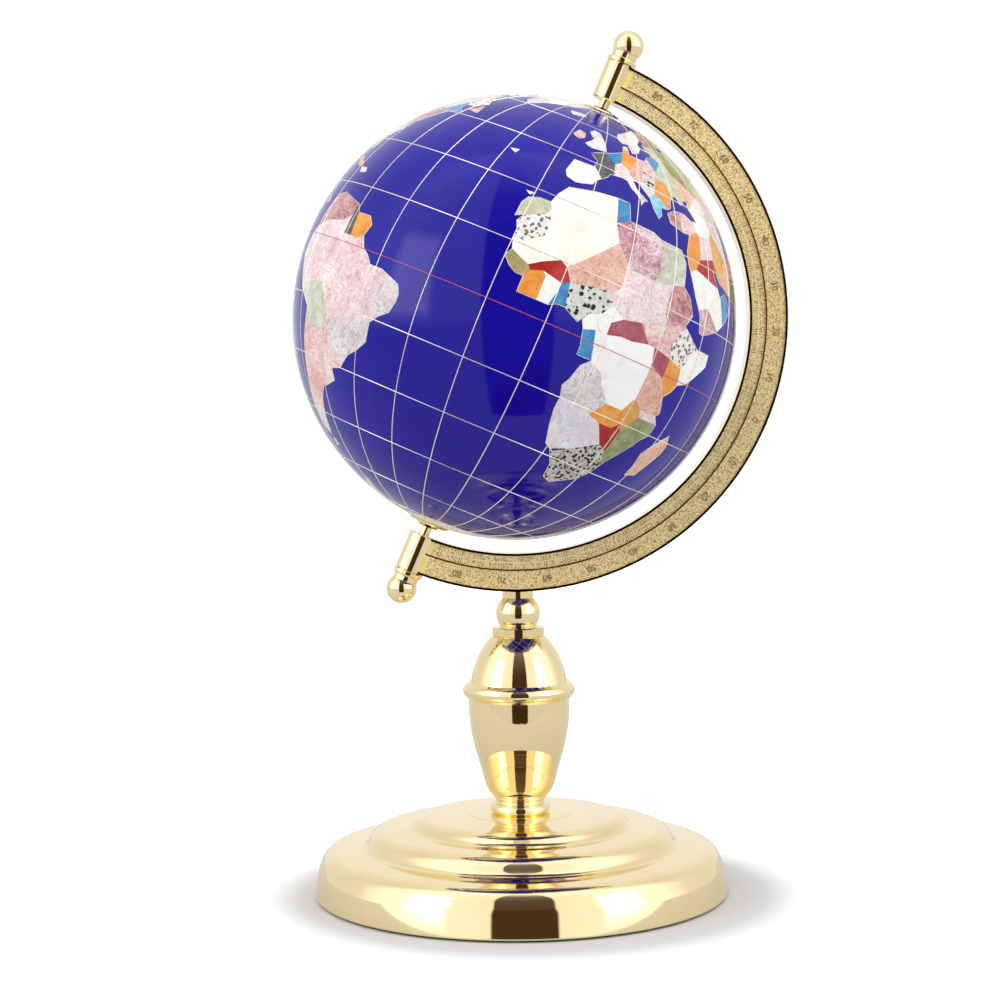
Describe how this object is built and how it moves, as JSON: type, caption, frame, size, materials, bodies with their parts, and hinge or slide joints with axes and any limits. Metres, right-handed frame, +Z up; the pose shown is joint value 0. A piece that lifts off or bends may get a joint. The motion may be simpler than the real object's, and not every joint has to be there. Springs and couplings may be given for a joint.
{
  "type": "desktop globe on stand",
  "caption": "Desktop gemstone globe that spins on a tilted axis in a half-ring meridian arm, on a turned gold-coloured column and a terraced round weighted base.",
  "frame": {"origin": "centre of the felt under the base, on the surface the globe stands on", "axes": "+Z up along the column, +X towards the side that the globe's north pole leans to, -Y towards the viewer"},
  "size_m": [0.1676, 0.15, 0.2927],
  "materials": {
    "polished_gold": "mirror-polished gold-coloured plate",
    "sandblasted_gold": "sandblasted bands with polished raised borders",
    "cast_weight": "rough cast, painted",
    "felt": "short dense pile",
    "steel": "zinc-plated",
    "pin_gold": "polished",
    "bushing_plastic": "natural white, self-lubricating",
    "core_plastic": "moulded",
    "ocean_resin": "deep blue stone-filled resin, polished to a gloss",
    "wire_gold": "polished wire, ground flush",
    "equator_red": "thin red line",
    "inlaid_stone": "cut semi-precious stones in many colours, polished flush"
  },
  "bodies": {
    "stand": {"base_shell": "polished_gold", "column_foot": "polished_gold", "column_cup": "polished_gold", "column_belt": "polished_gold", "column_dome": "polished_gold", "column_collar": "polished_gold", "column_ball": "polished_gold", "upper_pivot_barrel": "polished_gold", "lower_pivot_barrel": "polished_gold", "upper_finial": "polished_gold", "lower_finial": "polished_gold", "meridian_arm": "sandblasted_gold", "base_ballast": "cast_weight", "base_felt_pad": "felt", "base_washer": "steel", "tie_rod_nut": "steel", "tie_rod": "steel", "upper_pivot_pin": "pin_gold", "lower_pivot_pin": "pin_gold"},
    "globe": {"upper_pole_disc": "polished_gold", "lower_pole_disc": "polished_gold", "upper_bushing": "bushing_plastic", "lower_bushing": "bushing_plastic", "globe_core_north": "core_plastic", "globe_core_south": "core_plastic", "ocean_resin": "ocean_resin", "meridian_wires": "wire_gold", "parallel_wires": "wire_gold", "equator_wire": "equator_red", "stone_africa": "inlaid_stone", "stone_south_america": "inlaid_stone", "stone_north_america": "inlaid_stone", "stone_greenland": "inlaid_stone", "stone_eurasia": "inlaid_stone", "stone_australia": "inlaid_stone", "stone_antarctica": "inlaid_stone", "stone_islands": "inlaid_stone"}
  },
  "joints": [
    {"name": "globe_spin", "type": "hinge", "parent": "stand", "child": "globe", "pos_m": [0, 0, 0.1963], "axis": [0.3987, 0, 0.9171], "continuous": true}
  ]
}
